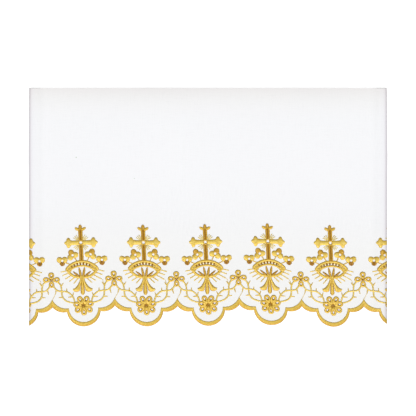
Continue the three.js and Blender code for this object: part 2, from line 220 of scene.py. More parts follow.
# On the panel the middle columns stand closer together at the crease and where the linen puckers
spread_x = np.linspace(-middle_start, middle_start, 2001)
crowd = 1 + CROWD_AT_CREASE * np.exp(-(((spread_x - CREASE["x"]) / CREASE_REACH) ** 2))
crowd += CROWD_AT_PUCKERS * sum(window(spread_x, *row["x"], PUCKER_BLUR_X) for row in PUCKERS)
share = np.concatenate([[0], np.cumsum((crowd[1:] + crowd[:-1]) / 2)])
panel_x = np.interp(np.linspace(0, share[-1], MIDDLE_COLUMNS), share, spread_x)

# At the top of the border they stand evenly across, and at its foot evenly along the scalloped line
plain_x = np.linspace(-middle_start, middle_start, MIDDLE_COLUMNS)
scallop = outer_line[np.abs(outer_line[:, 0]) < middle_start]
run = np.concatenate([[0], np.cumsum(np.hypot(*np.diff(scallop, axis=0).T))])
low_x = np.interp(np.linspace(0, run[-1], MIDDLE_COLUMNS), run, scallop[:, 0])
low_x[0], low_x[-1] = -middle_start, middle_start

hem_x = np.array([EDGE - inset for inset, _ in hem_columns])
hem_under = np.array([under for _, under in hem_columns])
column_panel, column_plain, column_low = (
    np.concatenate([-hem_x, middle, hem_x[::-1]]) for middle in (panel_x, plain_x, low_x)
)
column_under = np.concatenate([hem_under, np.zeros(MIDDLE_COLUMNS), hem_under[::-1]])
order = np.argsort(outer_line[:, 0])
column_foot = np.interp(column_low, outer_line[order, 0], outer_line[order, 1]) + UNDER_THE_EDGE
column_foot += UNDER_LAYER_SHORTER * column_under / LAYER
print("columns:", len(column_panel))

# %% Rows of the sheet
BORDER_TOP = -100
BORDER_ROWS, PANEL_ROWS = 26, 75
PANEL_ENDS = 6
CROWDING_STARTS = 25
NOSE_REACH, NOSE_REACH_AT_HEM = 0.15, 0.65
BACK_HEIGHT = 0.06
round_the_fold = np.radians([0, 22, 45, 68, 90, 112, 135, 158, 180])
top_y = fold_y(column_panel)

rows = []
for s in np.linspace(0, 1, BORDER_ROWS, endpoint=False):
    x = column_low + (column_plain - column_low) * soft_step(s)
    y = column_foot + (BORDER_TOP - column_foot) * s
    rows.append((x, y, linen_height(x, y)))
for s in np.linspace(0, 1, PANEL_ROWS):
    y = BORDER_TOP + (top_y - PANEL_ENDS - BORDER_TOP) * s
    x = column_plain + (column_panel - column_plain) * soft_step((y - BORDER_TOP) / CROWDING_STARTS)
    rows.append((x, y, linen_height(x, y)))
nose_reach = NOSE_REACH + NOSE_REACH_AT_HEM * hem_rise(column_panel)
for below in (4.4, 3.0, 2.2, nose_reach + 0.5, nose_reach + 0.05):
    y = top_y - below
    rows.append((column_panel, y, linen_height(column_panel, y)))
nose_top = linen_height(column_panel, top_y - nose_reach)
for t in round_the_fold:
    y = top_y - nose_reach * (1 - math.sin(t))
    z = (nose_top + BACK_HEIGHT) / 2 + (nose_top - BACK_HEIGHT) / 2 * math.cos(t)
    rows.append((column_panel, y, z))
for below in (3, 7, 12, 18, 25, 32, TOP_TURN):
    rows.append((column_panel, top_y - below, np.full_like(column_panel, BACK_HEIGHT)))
sheet_points = np.array(rows).transpose(0, 2, 1)
print("rows:", len(rows), "highest point:", sheet_points[:, :, 2].max().round(2), "mm")

# %% Draw the sides in, and lay the hems
DRAWN_IN, DRAWN_FROM, DRAWN_OVER = 1.05, 75, 100

# Where the margin lifts the cloth, its sides draw in by a millimetre
drawn_share = soft_step((sheet_points[:, :, 1] - DRAWN_FROM) / DRAWN_OVER)
sheet_points[:, :, 0] *= 1 - DRAWN_IN / EDGE * drawn_share

# The hem's under layer lies one layer inside the face, also where it goes round the fold
tangent = np.gradient(sheet_points, axis=0)[:, :, 1:]
tangent /= np.linalg.norm(tangent, axis=2, keepdims=True)
sheet_points[:, :, 1] += tangent[:, :, 1] * column_under
sheet_points[:, :, 2] -= tangent[:, :, 0] * column_under

# Columns that lean over too far would fold the border's faces over, so the smallest one is measured
face_x, face_y = sheet_points[:BORDER_ROWS, :, 0], sheet_points[:BORDER_ROWS, :, 1]
facing = np.diff(face_x, axis=1)[:-1] * np.diff(face_y, axis=0)[:, :-1]
facing -= np.diff(face_y, axis=1)[:-1] * np.diff(face_x, axis=0)[:, :-1]
print("smallest face of the border:", facing[:, len(hem_columns) : -len(hem_columns)].min().round(3), "sq mm")

# %% Make the linen sheet
LINEN = 0.5


def new_piece(name, points, faces):
    """A mesh object in metres, from points in millimetres."""
    mesh = bpy.data.meshes.new(name)
    mesh.from_pydata((np.asarray(points) * MM).tolist(), [], faces)
    mesh.polygons.foreach_set("use_smooth", np.ones(len(mesh.polygons), bool))
    mesh.update()
    piece = bpy.data.objects.new(name, mesh)
    bpy.context.scene.collection.objects.link(piece)
    return piece


def grid_faces(row_count, column_count):
    corner = np.arange(row_count * column_count).reshape(row_count, column_count)
    faces = np.stack([corner[:-1, :-1], corner[:-1, 1:], corner[1:, 1:], corner[1:, :-1]], axis=-1)
    return faces.reshape(-1, 4).tolist()


linen_piece = new_piece("linen_sheet", sheet_points.reshape(-1, 3), grid_faces(*sheet_points.shape[:2]))
thickness = linen_piece.modifiers.new("thickness", "SOLIDIFY")
thickness.thickness = LINEN * MM
thickness.offset = -1
print("linen faces:", len(linen_piece.data.polygons))

# %% [markdown]
# ## Satin stitch
# Every gold form is satin stitch: threads laid side by side between two lines, over a padding that domes
# them. So one maker does them all. It takes the two lines, lays a thread every half millimetre from one to the
# other, and gives each thread a crest and a valley. The column is a closed body that lies on the linen.
# The threads differ by a few hundredths of a millimetre, as stitched ones do.
# A bump in the material could draw the threads too, but only real crests catch the light at a low angle.
# Each point also remembers its tone, from 0 for the darkest to 1 for the palest, and its place along the
# thread, which later turns into the yarn's twist. The tone holds the thread's own colour and painted light:
# where a column's rims are darker than its middle, that is painted shade on the flanks and a painted highlight
# on the crest.

# %% A store for satin columns
class Stitches:
    """Collects the satin columns of one piece."""

    def __init__(self):
        self.points, self.faces, self.tones, self.twists = [], [], [], []
        self.count = 0

    def cap(self, corners):
        """Closes the end of the column that is added next."""
        self.faces.append([int(c) + self.count for c in corners])

    def add(self, points, faces, tones, twists):
        self.points.append(points)
        self.faces.extend((np.asarray(faces) + self.count).tolist())
        self.tones.append(tones)
        self.twists.append(twists)
        self.count += len(points)


print("an empty store holds", Stitches().count, "points")

# %% Cut the threads at the sides
SIDE_LIMIT = EDGE - 0.5
SHORTEST_THREAD = 0.25


def within_sides(a, b):
    """Cuts each thread off at the sides of the cloth, and says which threads are left."""
    a, b = a.copy(), b.copy()
    for side in (-1, 1):
        for near, far in ((a, b), (b, a)):
            past = (side * near[:, 0] > SIDE_LIMIT) & (side * far[:, 0] < SIDE_LIMIT)
            t = (side * SIDE_LIMIT - far[past, 0]) / (near[past, 0] - far[past, 0])
            near[past] = far[past] + t[:, None] * (near[past] - far[past])
    inside = np.abs((a + b)[:, 0]) / 2 <= SIDE_LIMIT + 1e-6
    return a, b, inside & (np.hypot(*(b - a).T) > SHORTEST_THREAD)


print("stitches end", EDGE - SIDE_LIMIT, "mm inside the hem")

# %% The satin maker
THREAD = 0.5
VALLEY = 0.8
DOME = 3.4
LIFT_OFF = 0.03
RIM_HEIGHT = 0.12
END_HEIGHT = 0.45
TWIST_STEP = 0.31
WIDE_COLUMN = 3
WIDE_SECTION = np.array([0, 0.07, 0.22, 0.5, 0.78, 0.93, 1])
NARROW_SECTION = np.array([0, 0.16, 0.5, 0.84, 1])
UNEVEN_HEIGHT, UNEVEN_END, UNEVEN_TONE = 0.05, 0.03, 0.035
END_INSET, VALLEY_INSET = 0.04, 0.06
SHORT_THREAD, SHORT_THREAD_POWER = 1.5, 0.7
stitch_random = np.random.default_rng(7)


def satin_run(store, a, b, relief, tones, closed, wrap, dome, plain):
    """One unbroken satin column. Its two lines change places where its faces would look down."""
    along = np.roll(a + b, -1, axis=0)[:-1] - (a + b)[:-1]
    across = (b - a)[:-1]
    if (across[:, 0] * along[:, 1] - across[:, 1] * along[:, 0]).sum() < 0:
        a, b, tones = b, a, tones[::-1]
    count = len(a)
    width = np.hypot(*(b - a).T)
    section = WIDE_SECTION if width.max() > WIDE_COLUMN else NARROW_SECTION
    arch = np.sqrt(1 - np.abs(2 * section - 1) ** dome)
    crest = np.where((np.arange(count) % 2 == 0) | plain, 1, VALLEY)
    thread = np.repeat(stitch_random.normal(0, 1, (count + 1) // 2), 2)[:count]

    # Short threads lie lower, as there is less padding under them
    height = relief * crest * (1 + UNEVEN_HEIGHT * thread)
    height *= np.minimum(1, width / (SHORT_THREAD * relief)) ** SHORT_THREAD_POWER
    if not closed:
        height[[0, -1]] *= END_HEIGHT
    inset = END_INSET + UNEVEN_END * thread + np.where(crest < 1, VALLEY_INSET, 0)
    inset = np.minimum(inset, width / 5)[:, None] * (b - a) / np.maximum(width, 1e-6)[:, None]
    a, b = a + inset, b - inset
    flat = a[:, None] + (b - a)[:, None] * section[None, :, None]
    z = linen_height(flat[..., 0], flat[..., 1]) + LIFT_OFF + height[:, None] * arch
    if wrap is not None:
        z[:, 0 if wrap == "a" else -1] = RIM_HEIGHT
    points = np.concatenate([flat, z[..., None]], axis=2).reshape(-1, 3)
    # Tone across the column, from the rim tones to the middle one: the thread's own colour, and painted shade
    # on the flanks and a painted highlight on the crest where the rims are darker. Each thread adds a random
    # tone.
    tone = np.interp(section, [0, 0.5, 1], tones)[None] + UNEVEN_TONE * thread[:, None]
    twist = section[None] * width[:, None] + TWIST_STEP * np.arange(count)[:, None]

    # The last corner of each section joins the first, which makes the flat underside
    m = len(section)
    corner = np.arange(count * m).reshape(count, m)
    ahead = np.roll(corner, -1, axis=0)
    if not closed:
        corner, ahead = corner[:-1], ahead[:-1]
        store.cap(range(m - 1, -1, -1))
        store.cap(range((count - 1) * m, count * m))
    beside, beside_ahead = np.roll(corner, -1, axis=1), np.roll(ahead, -1, axis=1)
    faces = np.stack([corner, beside, beside_ahead, ahead], axis=-1).reshape(-1, 4)
    store.add(points, faces, tone.ravel(), twist.ravel())


def satin(store, a, b, relief, tones, closed=False, wrap=None, dome=DOME, plain=False):
    """Lays a satin column between lines a and b. tones are the tones at a, in the middle and at b:
    the thread's colour, and painted shade where a rim is darker than the middle.
    wrap names the line that turns down round the cut edge, and plain leaves out the valleys."""
    a, b, left = within_sides(a, b)
    if left.all():
        satin_run(store, a, b, relief, tones, closed, wrap, dome, plain)
        return
    change = np.diff(np.concatenate([[0], left.astype(int), [0]]))
    for start, end in zip(np.flatnonzero(change == 1), np.flatnonzero(change == -1)):
        if end - start > 3:
            satin_run(store, a[start:end], b[start:end], relief, tones, False, wrap, dome, plain)


print("a thread every", THREAD, "mm, with valleys at", VALLEY, "of its height")

# %% From columns to a piece


def make_stitches(name, store):
    piece = new_piece(name, np.concatenate(store.points), store.faces)
    for label, values in (("tone", store.tones), ("twist", store.twists)):
        layer = piece.data.attributes.new(label, "FLOAT", "POINT")
        layer.data.foreach_set("value", np.concatenate(values).astype(np.float32))
    print(name, "has", sum(len(f) - 2 for f in store.faces), "triangles")
    return piece


# %% [markdown]
# ## Strokes, fans, cords and rings
# Four ways to draw the two lines are enough for the whole border.
# A stroke is a path with a width at each point: a stem, a thorn, a leaf or an arm of the cross. A fan lies
# between two lines of its own, as the lobes of the lily foot do. A cord is one thick straight thread, for the
# rays. A ring goes round an opening, as the petals do round their slits.

# %% Strokes, fans and cords
NARROWEST = 0.3
CORD_STEP, CORD_DOME = 1.2, 2


def smooth(rows, step):
    """A smooth line through the rows of a table, with a station every step along it."""
    rows = np.asarray(rows, float)
    ends = np.vstack([2 * rows[0] - rows[1], rows, 2 * rows[-1] - rows[-2]])
    t = np.linspace(0, 1, 12, endpoint=False)[:, None]
    parts = []
    for p0, p1, p2, p3 in zip(ends, ends[1:], ends[2:], ends[3:]):
        second, third = 2 * p0 - 5 * p1 + 4 * p2 - p3, 3 * p1 - p0 - 3 * p2 + p3
        parts.append(0.5 * (2 * p1 + (p2 - p0) * t + second * t**2 + third * t**3))
    fine = np.vstack([*parts, rows[-1:]])
    run = np.concatenate([[0], np.cumsum(np.hypot(*np.diff(fine[:, :2], axis=0).T))])
    stations = max(4, 2 * round(run[-1] / (2 * step)) + 1)
    at = np.linspace(0, run[-1], stations)
    return np.column_stack([np.interp(at, run, column) for column in fine.T])


def stroke(store, k, rows, relief, tones, slant=0.0, side=1):
    """A satin stroke of repeat k: rows are (u, v, width), and side -1 mirrors it."""
    line = smooth(np.asarray(rows, float) * (side, 1, 1), THREAD / 2)
    direction = np.gradient(line[:, :2], axis=0)
    direction /= np.maximum(np.linalg.norm(direction, axis=1, keepdims=True), 1e-9)
    normal = np.column_stack([-direction[:, 1], direction[:, 0]])
    half = np.maximum(line[:, 2:3], NARROWEST) / 2
    a = line[:, :2] + normal * half + direction * slant
    b = line[:, :2] - normal * half - direction * slant
    if side < 0:
        a, b = b, a
    satin(store, place(k, a), place(k, b), relief, tones)


def fan(store, k, outer, inner, relief, tones, side=1):
    """A satin column between two smooth lines of its own, which may differ in length."""
    lines = [smooth([(side * u, v) for u, v in rows], THREAD / 2) for rows in (outer, inner)]
    share = np.linspace(0, 1, max(len(line) for line in lines))
    a, b = (
        np.column_stack([np.interp(share, np.linspace(0, 1, len(line)), column) for column in line.T])
        for line in lines
    )
    satin(store, place(k, a), place(k, b), relief, tones)


def cord(store, k, start, end, width, relief, tone, side=1):
    """A single thick thread laid straight, as the rays are."""
    line = smooth([(side * u, v) for u, v in (start, end)], CORD_STEP)
    along = (line[-1] - line[0]) / np.hypot(*(line[-1] - line[0]))
    normal = np.array([-along[1], along[0]]) * width / 2
    a, b = place(k, line + normal), place(k, line - normal)
    satin(store, a, b, relief, (tone, tone, tone), dome=CORD_DOME, plain=True)


print("stations on a line of 10 mm:", len(smooth([(0, 0, 1), (10, 0, 1)], THREAD / 2)))

# %% Rings


def ring(store, k, centre, inner, outer, turn, relief, tones, shift=0.0, egg=0.0):
    """A satin ring: inner and outer are half axes (along turn, across it).
    shift moves the outer line along, and egg makes it fuller at its far end."""
    middle = (np.add(inner, outer) / 2).mean()
    stations = 2 * round(math.pi * middle * 2 / THREAD)
    angle = np.linspace(0, 2 * math.pi, stations, endpoint=False)
    lines = []
    for (along, across), move, fuller in ((outer, shift, egg), (inner, 0, 0)):
        p = along * np.cos(angle) + move
        q = across * np.sin(angle) * (1 + fuller * np.cos(angle))
        u = centre[0] + p * math.cos(turn) - q * math.sin(turn)
        v = centre[1] + p * math.sin(turn) + q * math.cos(turn)
        lines.append(place(k, np.column_stack([u, v])))
    satin(store, *lines, relief, tones, closed=True)


def round_pad(store, k, centre, radius, hole, relief, tones):
    """A round ring, whose threads run in to a hole that may be very small."""
    ring(store, k, centre, (hole, hole), (radius, radius), 0, relief, tones)


print("stations round a ring of 5 mm:", 2 * round(math.pi * 5 / THREAD))

# %% [markdown]
# ## The satin edge
# A firm satin column covers the cut edge of the scallops, its threads running square to the line.
# Its tones paint it pale on top, a painted highlight, and darker at the outer rim, a painted shade where the
# threads turn down round the linen.

# %% Stitch the edge
BAND_RELIEF, BAND_DOME = 0.65, 7
# Painted shade and highlight: dark at the outer rim, pale on the crest and the inner side.
BAND_SHADE_AND_HIGHLIGHT_TONES = (0.33, 0.77, 0.84)


def stations_along(line, other, step):
    """Re-spaces two lines together, with a station every step along the first."""
    run = np.concatenate([[0], np.cumsum(np.hypot(*np.diff(line, axis=0).T))])
    at = np.linspace(0, run[-1], 2 * round(run[-1] / (2 * step)) + 1)
    return [np.column_stack([np.interp(at, run, c) for c in rail.T]) for rail in (line, other)]


edge_store = Stitches()
edge_outer, edge_inner = stations_along(outer_line, inner_line, THREAD / 2)
satin(edge_store, edge_outer, edge_inner, BAND_RELIEF, BAND_SHADE_AND_HIGHLIGHT_TONES, wrap="b", dome=BAND_DOME)
satin_edge = make_stitches("satin_edge", edge_store)

# %% [markdown]
# ## The thorn vine
# Between the crosses runs a vine: a rosette of seven petals over each large scallop, a four-petalled flower
# between the repeats, and two thorny stems that cross on the way from one to the other.

# %% Stems and thorns
STEM_WIDTH, STEM_RELIEF, STEM_TONES = 2.9, 0.7, (0.76, 0.93, 0.76)
THORN_WIDTHS, THORN_RELIEF, THORN_TONES = (2.4, 2.2, 1.3), 0.6, (0.68, 0.85, 0.68)
JUMP_WIDTH, JUMP_RELIEF, JUMP_TONE = 1.0, 0.4, 0.85
STEMS = [
    [(14.5, 40.7), (23.4, 42.6), (31, 46.1), (36.2, 53.5), (37.2, 66.9), (39.6, 74.4), (45.5, 79.8)],
    [(14, 39.7), (16.3, 49.1), (21, 56), (28.3, 60.8), (42, 62.4), (47.6, 66.3), (51.7, 72.4)],
]
THORNS = [
    [(35, 51.3), (42.4, 51.1)],
    [(37.6, 70.1), (33.4, 76.4)],
    [(28, 60), (28, 66.6)],
    [(18.3, 52.3), (16.0, 59.2)],
    [(18.2, 51.5), (26.0, 51.1)],
    [(46.3, 64.9), (48.4, 56.4)],
]
JUMPS = [[(54.2, 47.0), (60.0, 57.4)], [(34.6, 80.4), (37.2, 71.6)]]


def stems(store, k):
    for side in (-1, 1):
        for path in STEMS:
            stroke(store, k, [(u, v, STEM_WIDTH) for u, v in path], STEM_RELIEF, STEM_TONES, side=side)
        for (u, v), (tip_u, tip_v) in THORNS:
            places = [(u, v), ((u + tip_u) / 2, (v + tip_v) / 2), (tip_u, tip_v)]
            rows = [(*at, width) for at, width in zip(places, THORN_WIDTHS)]
            stroke(store, k, rows, THORN_RELIEF, THORN_TONES, side=side)
    for start, end in JUMPS:
        cord(store, k, start, end, JUMP_WIDTH, JUMP_RELIEF, JUMP_TONE)


print("thorns in each repeat:", 2 * len(THORNS))

# %% Rosette and four-petalled flower
# The petal tones paint shade on the ring's side at the slit and a highlight on its crest.
PETAL_RELIEF, PETAL_EGG, PETAL_SHADED_TONES = 1.0, 0.28, (0.48, 0.84, 0.28)
EVERY_OTHER_PETAL = 1.08
# A dark round pad at the inner end of each slit: a painted shadow of the opening.
SLIT_SHADOW_PAD = {"radius": 1.0, "hole": 0.1, "relief": 1.2, "tones": (0.2, 0.0, 0.0)}
SLIT_SHADOW_OFF_SLIT = 0.3
HEART = {"hole": 0.3, "relief": 1.3, "tones": (0.4, 0.2, 0.15)}
ROSETTE = {
    "centre": (0.3, 36.6),
    "turn": [-88, -37, 12, 61, 119, 173, 217],
    "reach": [9.6, 10.3, 10.0, 9.7, 9.7, 9.9, 10.4],
    "slit_at": [11.4, 12.1, 11.8, 11.6, 11.6, 11.7, 12.4],
    "slit": [(2.1, 1.15)] * 7,
    "petal": [(8.0, 5.2)] * 7,
    "heart": 2.7,
}
QUATREFOIL = {
    "centre": (PITCH / 2, 81.8),
    "turn": [0, 90, 180, 270],
    "reach": [8.2, 7.0, 8.2, 7.3],
    "slit_at": [9.1, 7.8, 9.1, 8.2],
    "slit": [(1.9, 1.15), (1.8, 1.35), (1.9, 1.15), (1.8, 1.2)],
    "petal": [(6.8, 4.7), (6.4, 5.2), (6.8, 4.7), (6.3, 4.9)],
    "heart": 1.9,
}


def flower(store, k, centre, turn, reach, slit_at, slit, petal, heart):
    """Petals that meet in the middle, each with an opening and a dark pad at the opening's foot, a painted
    shadow.
    """
    for i, (degrees, out, opening) in enumerate(zip(turn, reach, slit_at)):
        angle = math.radians(degrees)
        along, across = math.cos(angle), math.sin(angle)
        middle = (centre[0] + opening * along, centre[1] + opening * across)
        relief = PETAL_RELIEF * (EVERY_OTHER_PETAL if i % 2 else 1)
        shape = {"shift": out - opening, "egg": PETAL_EGG}
        ring(store, k, middle, slit[i], petal[i], angle, relief, PETAL_SHADED_TONES, **shape)
        foot = opening - slit[i][0] - SLIT_SHADOW_OFF_SLIT
        round_pad(store, k, (centre[0] + foot * along, centre[1] + foot * across), **SLIT_SHADOW_PAD)
    round_pad(store, k, centre, heart, **HEART)


print("petals:", len(ROSETTE["turn"]), "and", len(QUATREFOIL["turn"]))

# %% Stitch the vine
vine_store = Stitches()
for k in ALL_REPEATS:
    stems(vine_store, k)
    flower(vine_store, k, **ROSETTE)
    flower(vine_store, k, **QUATREFOIL)
vine_piece = make_stitches("thorn_vine_stitches", vine_store)

# %% [markdown]
# ## The cross
# Each repeat bears a cross with budded ends. Its shaft is two dark columns with a darker groove between them,
# its arms are strokes whose width swells to three lobes, and its head is a bud with a lobe on each side.
# Thin rays stand round its middle, where a spot of linen is left bare.

# %% Tables of the cross
CROSS_HEART = 144.8
SHAFT = [(111.9, CROSS_HEART - 2.6), (CROSS_HEART + 2.6, 167.5)]
SHAFT_SIDE = {"at": 2.05, "width": 3.9}
SHAFT_RELIEF, SHAFT_SLANT, SHAFT_TONES = 1.0, 0.5, (0.1, 0.4, 0.66)
GROOVE_WIDTH, GROOVE_RELIEF, GROOVE_TONES = 2.6, 0.6, (0.08, 0.08, 0.08)
ARM_WIDTHS = [
    (3.2, 8.2), (8, 8.0), (14, 8.2), (17.4, 9.4), (18.8, 14.0), (20.2, 17.2),
    (21.8, 18.0), (23.4, 17.0), (24.6, 13.4), (25.4, 8.8), (26.8, 6.2), (29, 2.4),
]
ARM_RELIEF, ARM_TONES = 1.0, (0.72, 0.9, 0.72)
HEAD_BUD = [(0, 166.6, 6.4), (0, 169.2, 5.8), (0, 171.6, 6.4), (0, 173.8, 5.2), (0, 175.4, 2.2)]
HEAD_LOBE = [(1.8, 166.8, 5.0), (5.0, 168.0, 5.4), (7.6, 169.4, 4.6), (9.2, 170.6, 2.2)]
HEAD_BUD_RELIEF, HEAD_BUD_TONES = 1.1, (0.56, 0.4, 0.56)
HEAD_LOBE_RELIEF, HEAD_LOBE_TONES = 0.9, (0.56, 0.7, 0.56)
HEART_RING = {"radius": 4.8, "hole": 2.3, "relief": 1.15, "tones": (0.55, 0.75, 0.5)}
HEART_RAY_ANGLES, HEART_RAY_ENDS = (34, 47, 60), (6.6, 15.2)
HEART_RAY = {"width": 1.8, "relief": 0.45, "tone": 0.95}
print("the cross is", HEAD_BUD[-1][1] - SHAFT[0][0], "mm high")

# %% How a cross is stitched


def cross(store, k):
    for low, high in SHAFT:
        heights = (low, (low + high) / 2, high)
        stroke(store, k, [(0, v, GROOVE_WIDTH) for v in heights], GROOVE_RELIEF, GROOVE_TONES)
        for side in (-1, 1):
            rows = [(SHAFT_SIDE["at"], v, SHAFT_SIDE["width"]) for v in heights]
            stroke(store, k, rows, SHAFT_RELIEF, SHAFT_TONES, slant=SHAFT_SLANT, side=side)
    arm = [(u, CROSS_HEART, width) for u, width in ARM_WIDTHS]
    for side in (-1, 1):
        stroke(store, k, arm, ARM_RELIEF, ARM_TONES, side=side)
        for angle in HEART_RAY_ANGLES:
            for up in (-1, 1):
                c, s = math.cos(math.radians(angle)), up * math.sin(math.radians(angle))
                start, end = [(r * c, CROSS_HEART + r * s) for r in HEART_RAY_ENDS]
                cord(store, k, start, end, **HEART_RAY, side=side)
    for side in (-1, 1):
        stroke(store, k, HEAD_LOBE, HEAD_LOBE_RELIEF, HEAD_LOBE_TONES, side=side)
    stroke(store, k, HEAD_BUD, HEAD_BUD_RELIEF, HEAD_BUD_TONES)
    round_pad(store, k, (0, CROSS_HEART), **HEART_RING)


# %% [markdown]
# ## The crown and the lily foot
# The cross stands on a crown. Its rim is one stroke that hooks inwards at both ends, with an inner arc below
# it. Between them lies a thin pale ground with a row of dark studs, and four little rings fill each end.
# A lid of two strokes closes the crown from below. Four leaves stand on it, thin rays fan out under it, and
# the lily foot hangs from it: a bud between two lobes, each lobe a fan of threads.

# %% Tables of the crown
CROWN_CENTRE, CROWN_RADIUS, RIM_WIDTH = 77.5, 37.3, 4.4
RIM_MIDDLE = CROWN_RADIUS - RIM_WIDTH / 2
RIM = {"centre": CROWN_CENTRE, "radius": RIM_MIDDLE, "spread": 48, "steps": 15, "width": RIM_WIDTH}
INNER_ARC = {"centre": 70.0, "radius": 34.9, "spread": 37.5, "steps": 11, "width": 3.7}
GROUND_ARC = {"centre": CROWN_CENTRE, "radius": 32.1, "spread": 43, "steps": 13, "width": 2.8}
RIM_RELIEF, RIM_TONES = 0.9, (0.58, 0.8, 0.68)
INNER_RELIEF, INNER_TONES = 0.8, (0.56, 0.8, 0.56)
GROUND_RELIEF, GROUND_TONES = 0.35, (1.0, 1.0, 1.0)
HOOK = [(27.2, 99.0, 3.9), (25.6, 96.2, 3.5), (21.8, 95.8, 2.9)]
STUDS = [
    (-17.6, 103.9), (-12.7, 106.2), (-7.7, 108.0), (-2.4, 109.0),
    (3.2, 109.0), (8.6, 108.2), (13.9, 106.8),
]
STUD_WIDTHS, STUD_RELIEF, STUD_TONES = ((1.8, 3.1), (0.2, 3.7), (-2.8, 2.1)), 0.95, (0.1, 0.0, 0.1)
END_RINGS = [
    (17.2, 102.2, 3.7, 0.9),
    (22.2, 101.4, 4.8, 1.5),
    (21.4, 97.8, 3.6, 1.1),
    (24.4, 98.2, 3.3, 0.8),
]
END_RING_RELIEF, END_RING_TONES = 0.8, (0.46, 0.88, 0.0)
LID = [(25, 96.3, 4.2), (20, 91.0, 4.8), (12.7, 86.6, 4.7), (2, 84.8, 5.0)]
LID_RELIEF, LID_TONES = 0.85, (0.6, 0.82, 0.6)
print("studs:", len(STUDS), "rings:", 2 * len(END_RINGS))

# %% Tables of the leaves, the foot and the rays
LEAVES = [
    {"base": (3, 84.8), "tip": (15.6, 95.2), "width": 3.9, "tones": (0.2, 0.35, 0.2)},
    {"base": (1.8, 85.7), "tip": (4.9, 102), "width": 4.7, "tones": (0.3, 0.58, 0.3)},
]
LEAF_SHAPE = [(0, 0.82), (0.4, 1.0), (0.8, 0.74), (1, 0.24)]
LEAF_RELIEF, LEAF_SLANT = 0.95, 0.4
LOBE_OUTER = [(3.6, 88.0), (4.1, 81.4), (6.3, 75.8), (9.9, 70.2), (13.2, 67.2), (17.2, 65.1)]
LOBE_INNER = [
    (0.3, 87.4), (0.7, 81.0), (1.8, 75.4), (3.1, 70.0), (4.4, 64.7),
    (5.8, 61.3), (10.2, 59.7), (15.3, 61.0), (17.3, 63.9),
]
BUD = [
    (0, 88, 2.4), (0, 82, 3.0), (0, 76, 4.4), (0, 70, 5.8),
    (0, 65, 7.2), (0, 60.6, 7.6), (0, 57.2, 6.4), (0, 54.4, 2.6),
]
# The lobes' and the bud's tones paint a highlight down their middles and shade at their rims.
LOBE_RELIEF, LOBE_HIGHLIGHT_TONES = 1.05, (0.6, 0.92, 0.45)
BUD_RELIEF, BUD_HIGHLIGHT_TONES = 0.85, (0.35, 0.82, 0.35)
CROWN_RAY = {"width": 2.0, "relief": 0.4, "tone": 0.82}
CROWN_RAYS = {
    -1: [
        (28.8, 96.5, 37.3, 95.0), (24.2, 92.6, 34.3, 88.7), (17.3, 89.6, 29.5, 82.7),
        (12.6, 85.3, 22.9, 78.3), (6.8, 83.8, 15.2, 74.3),
    ],
    1: [
        (28.8, 97.0, 38.2, 94.5), (24.7, 92.6, 34.5, 88.7), (20.6, 88.2, 33.2, 80.9),
        (13.7, 84.8, 22.9, 78.8), (7.8, 83.8, 16.4, 75.4),
    ],
}
print("rays under each crown:", sum(len(rays) for rays in CROWN_RAYS.values()))

# %% How a crown is stitched


def arc_rows(centre, radius, spread, steps, width):
    """Rows of a stroke along an arc about a point on the motif's middle line. spread is in degrees."""
    angle = np.radians(np.linspace(-spread, spread, steps))
    return [(radius * math.sin(a), centre + radius * math.cos(a), width) for a in angle]


def crown_band(store, k):
    left_hook = [(-u, v, width) for u, v, width in HOOK[::-1]]
    stroke(store, k, [*left_hook, *arc_rows(**RIM), *HOOK], RIM_RELIEF, RIM_TONES)
    stroke(store, k, arc_rows(**INNER_ARC), INNER_RELIEF, INNER_TONES)
    stroke(store, k, arc_rows(**GROUND_ARC), GROUND_RELIEF, GROUND_TONES)
    for u, v in STUDS:
        turn = math.atan2(u, v - CROWN_CENTRE)
        rows = [(u + out * math.sin(turn), v + out * math.cos(turn), width) for out, width in STUD_WIDTHS]
        stroke(store, k, rows, STUD_RELIEF, STUD_TONES)
    for side in (-1, 1):
        for u, v, radius, hole in END_RINGS:
            round_pad(store, k, (side * u, v), radius, hole, END_RING_RELIEF, END_RING_TONES)


def crown(store, k):
    crown_band(store, k)
    for side in (-1, 1):
        for u, v, tip_u, tip_v in CROWN_RAYS[side]:
            cord(store, k, (u, v), (tip_u, tip_v), **CROWN_RAY, side=side)
        stroke(store, k, LID, LID_RELIEF, LID_TONES, side=side)
        for leaf in LEAVES:
            (u, v), (tip_u, tip_v), width = leaf["base"], leaf["tip"], leaf["width"]
            rows = [(u + t * (tip_u - u), v + t * (tip_v - v), width * part) for t, part in LEAF_SHAPE]
            stroke(store, k, rows, LEAF_RELIEF, leaf["tones"], slant=LEAF_SLANT, side=side)
        fan(store, k, LOBE_OUTER, LOBE_INNER, LOBE_RELIEF, LOBE_HIGHLIGHT_TONES, side=side)
    stroke(store, k, BUD, BUD_RELIEF, BUD_HIGHLIGHT_TONES)


# %% [markdown]
# ## Flowers of three petals
# Two of them stand on stalks on each side of the cross. Their petals are round satin pads about a bare spot
# of linen. One petal of each, the topmost or the lowest, is worked in darker thread.

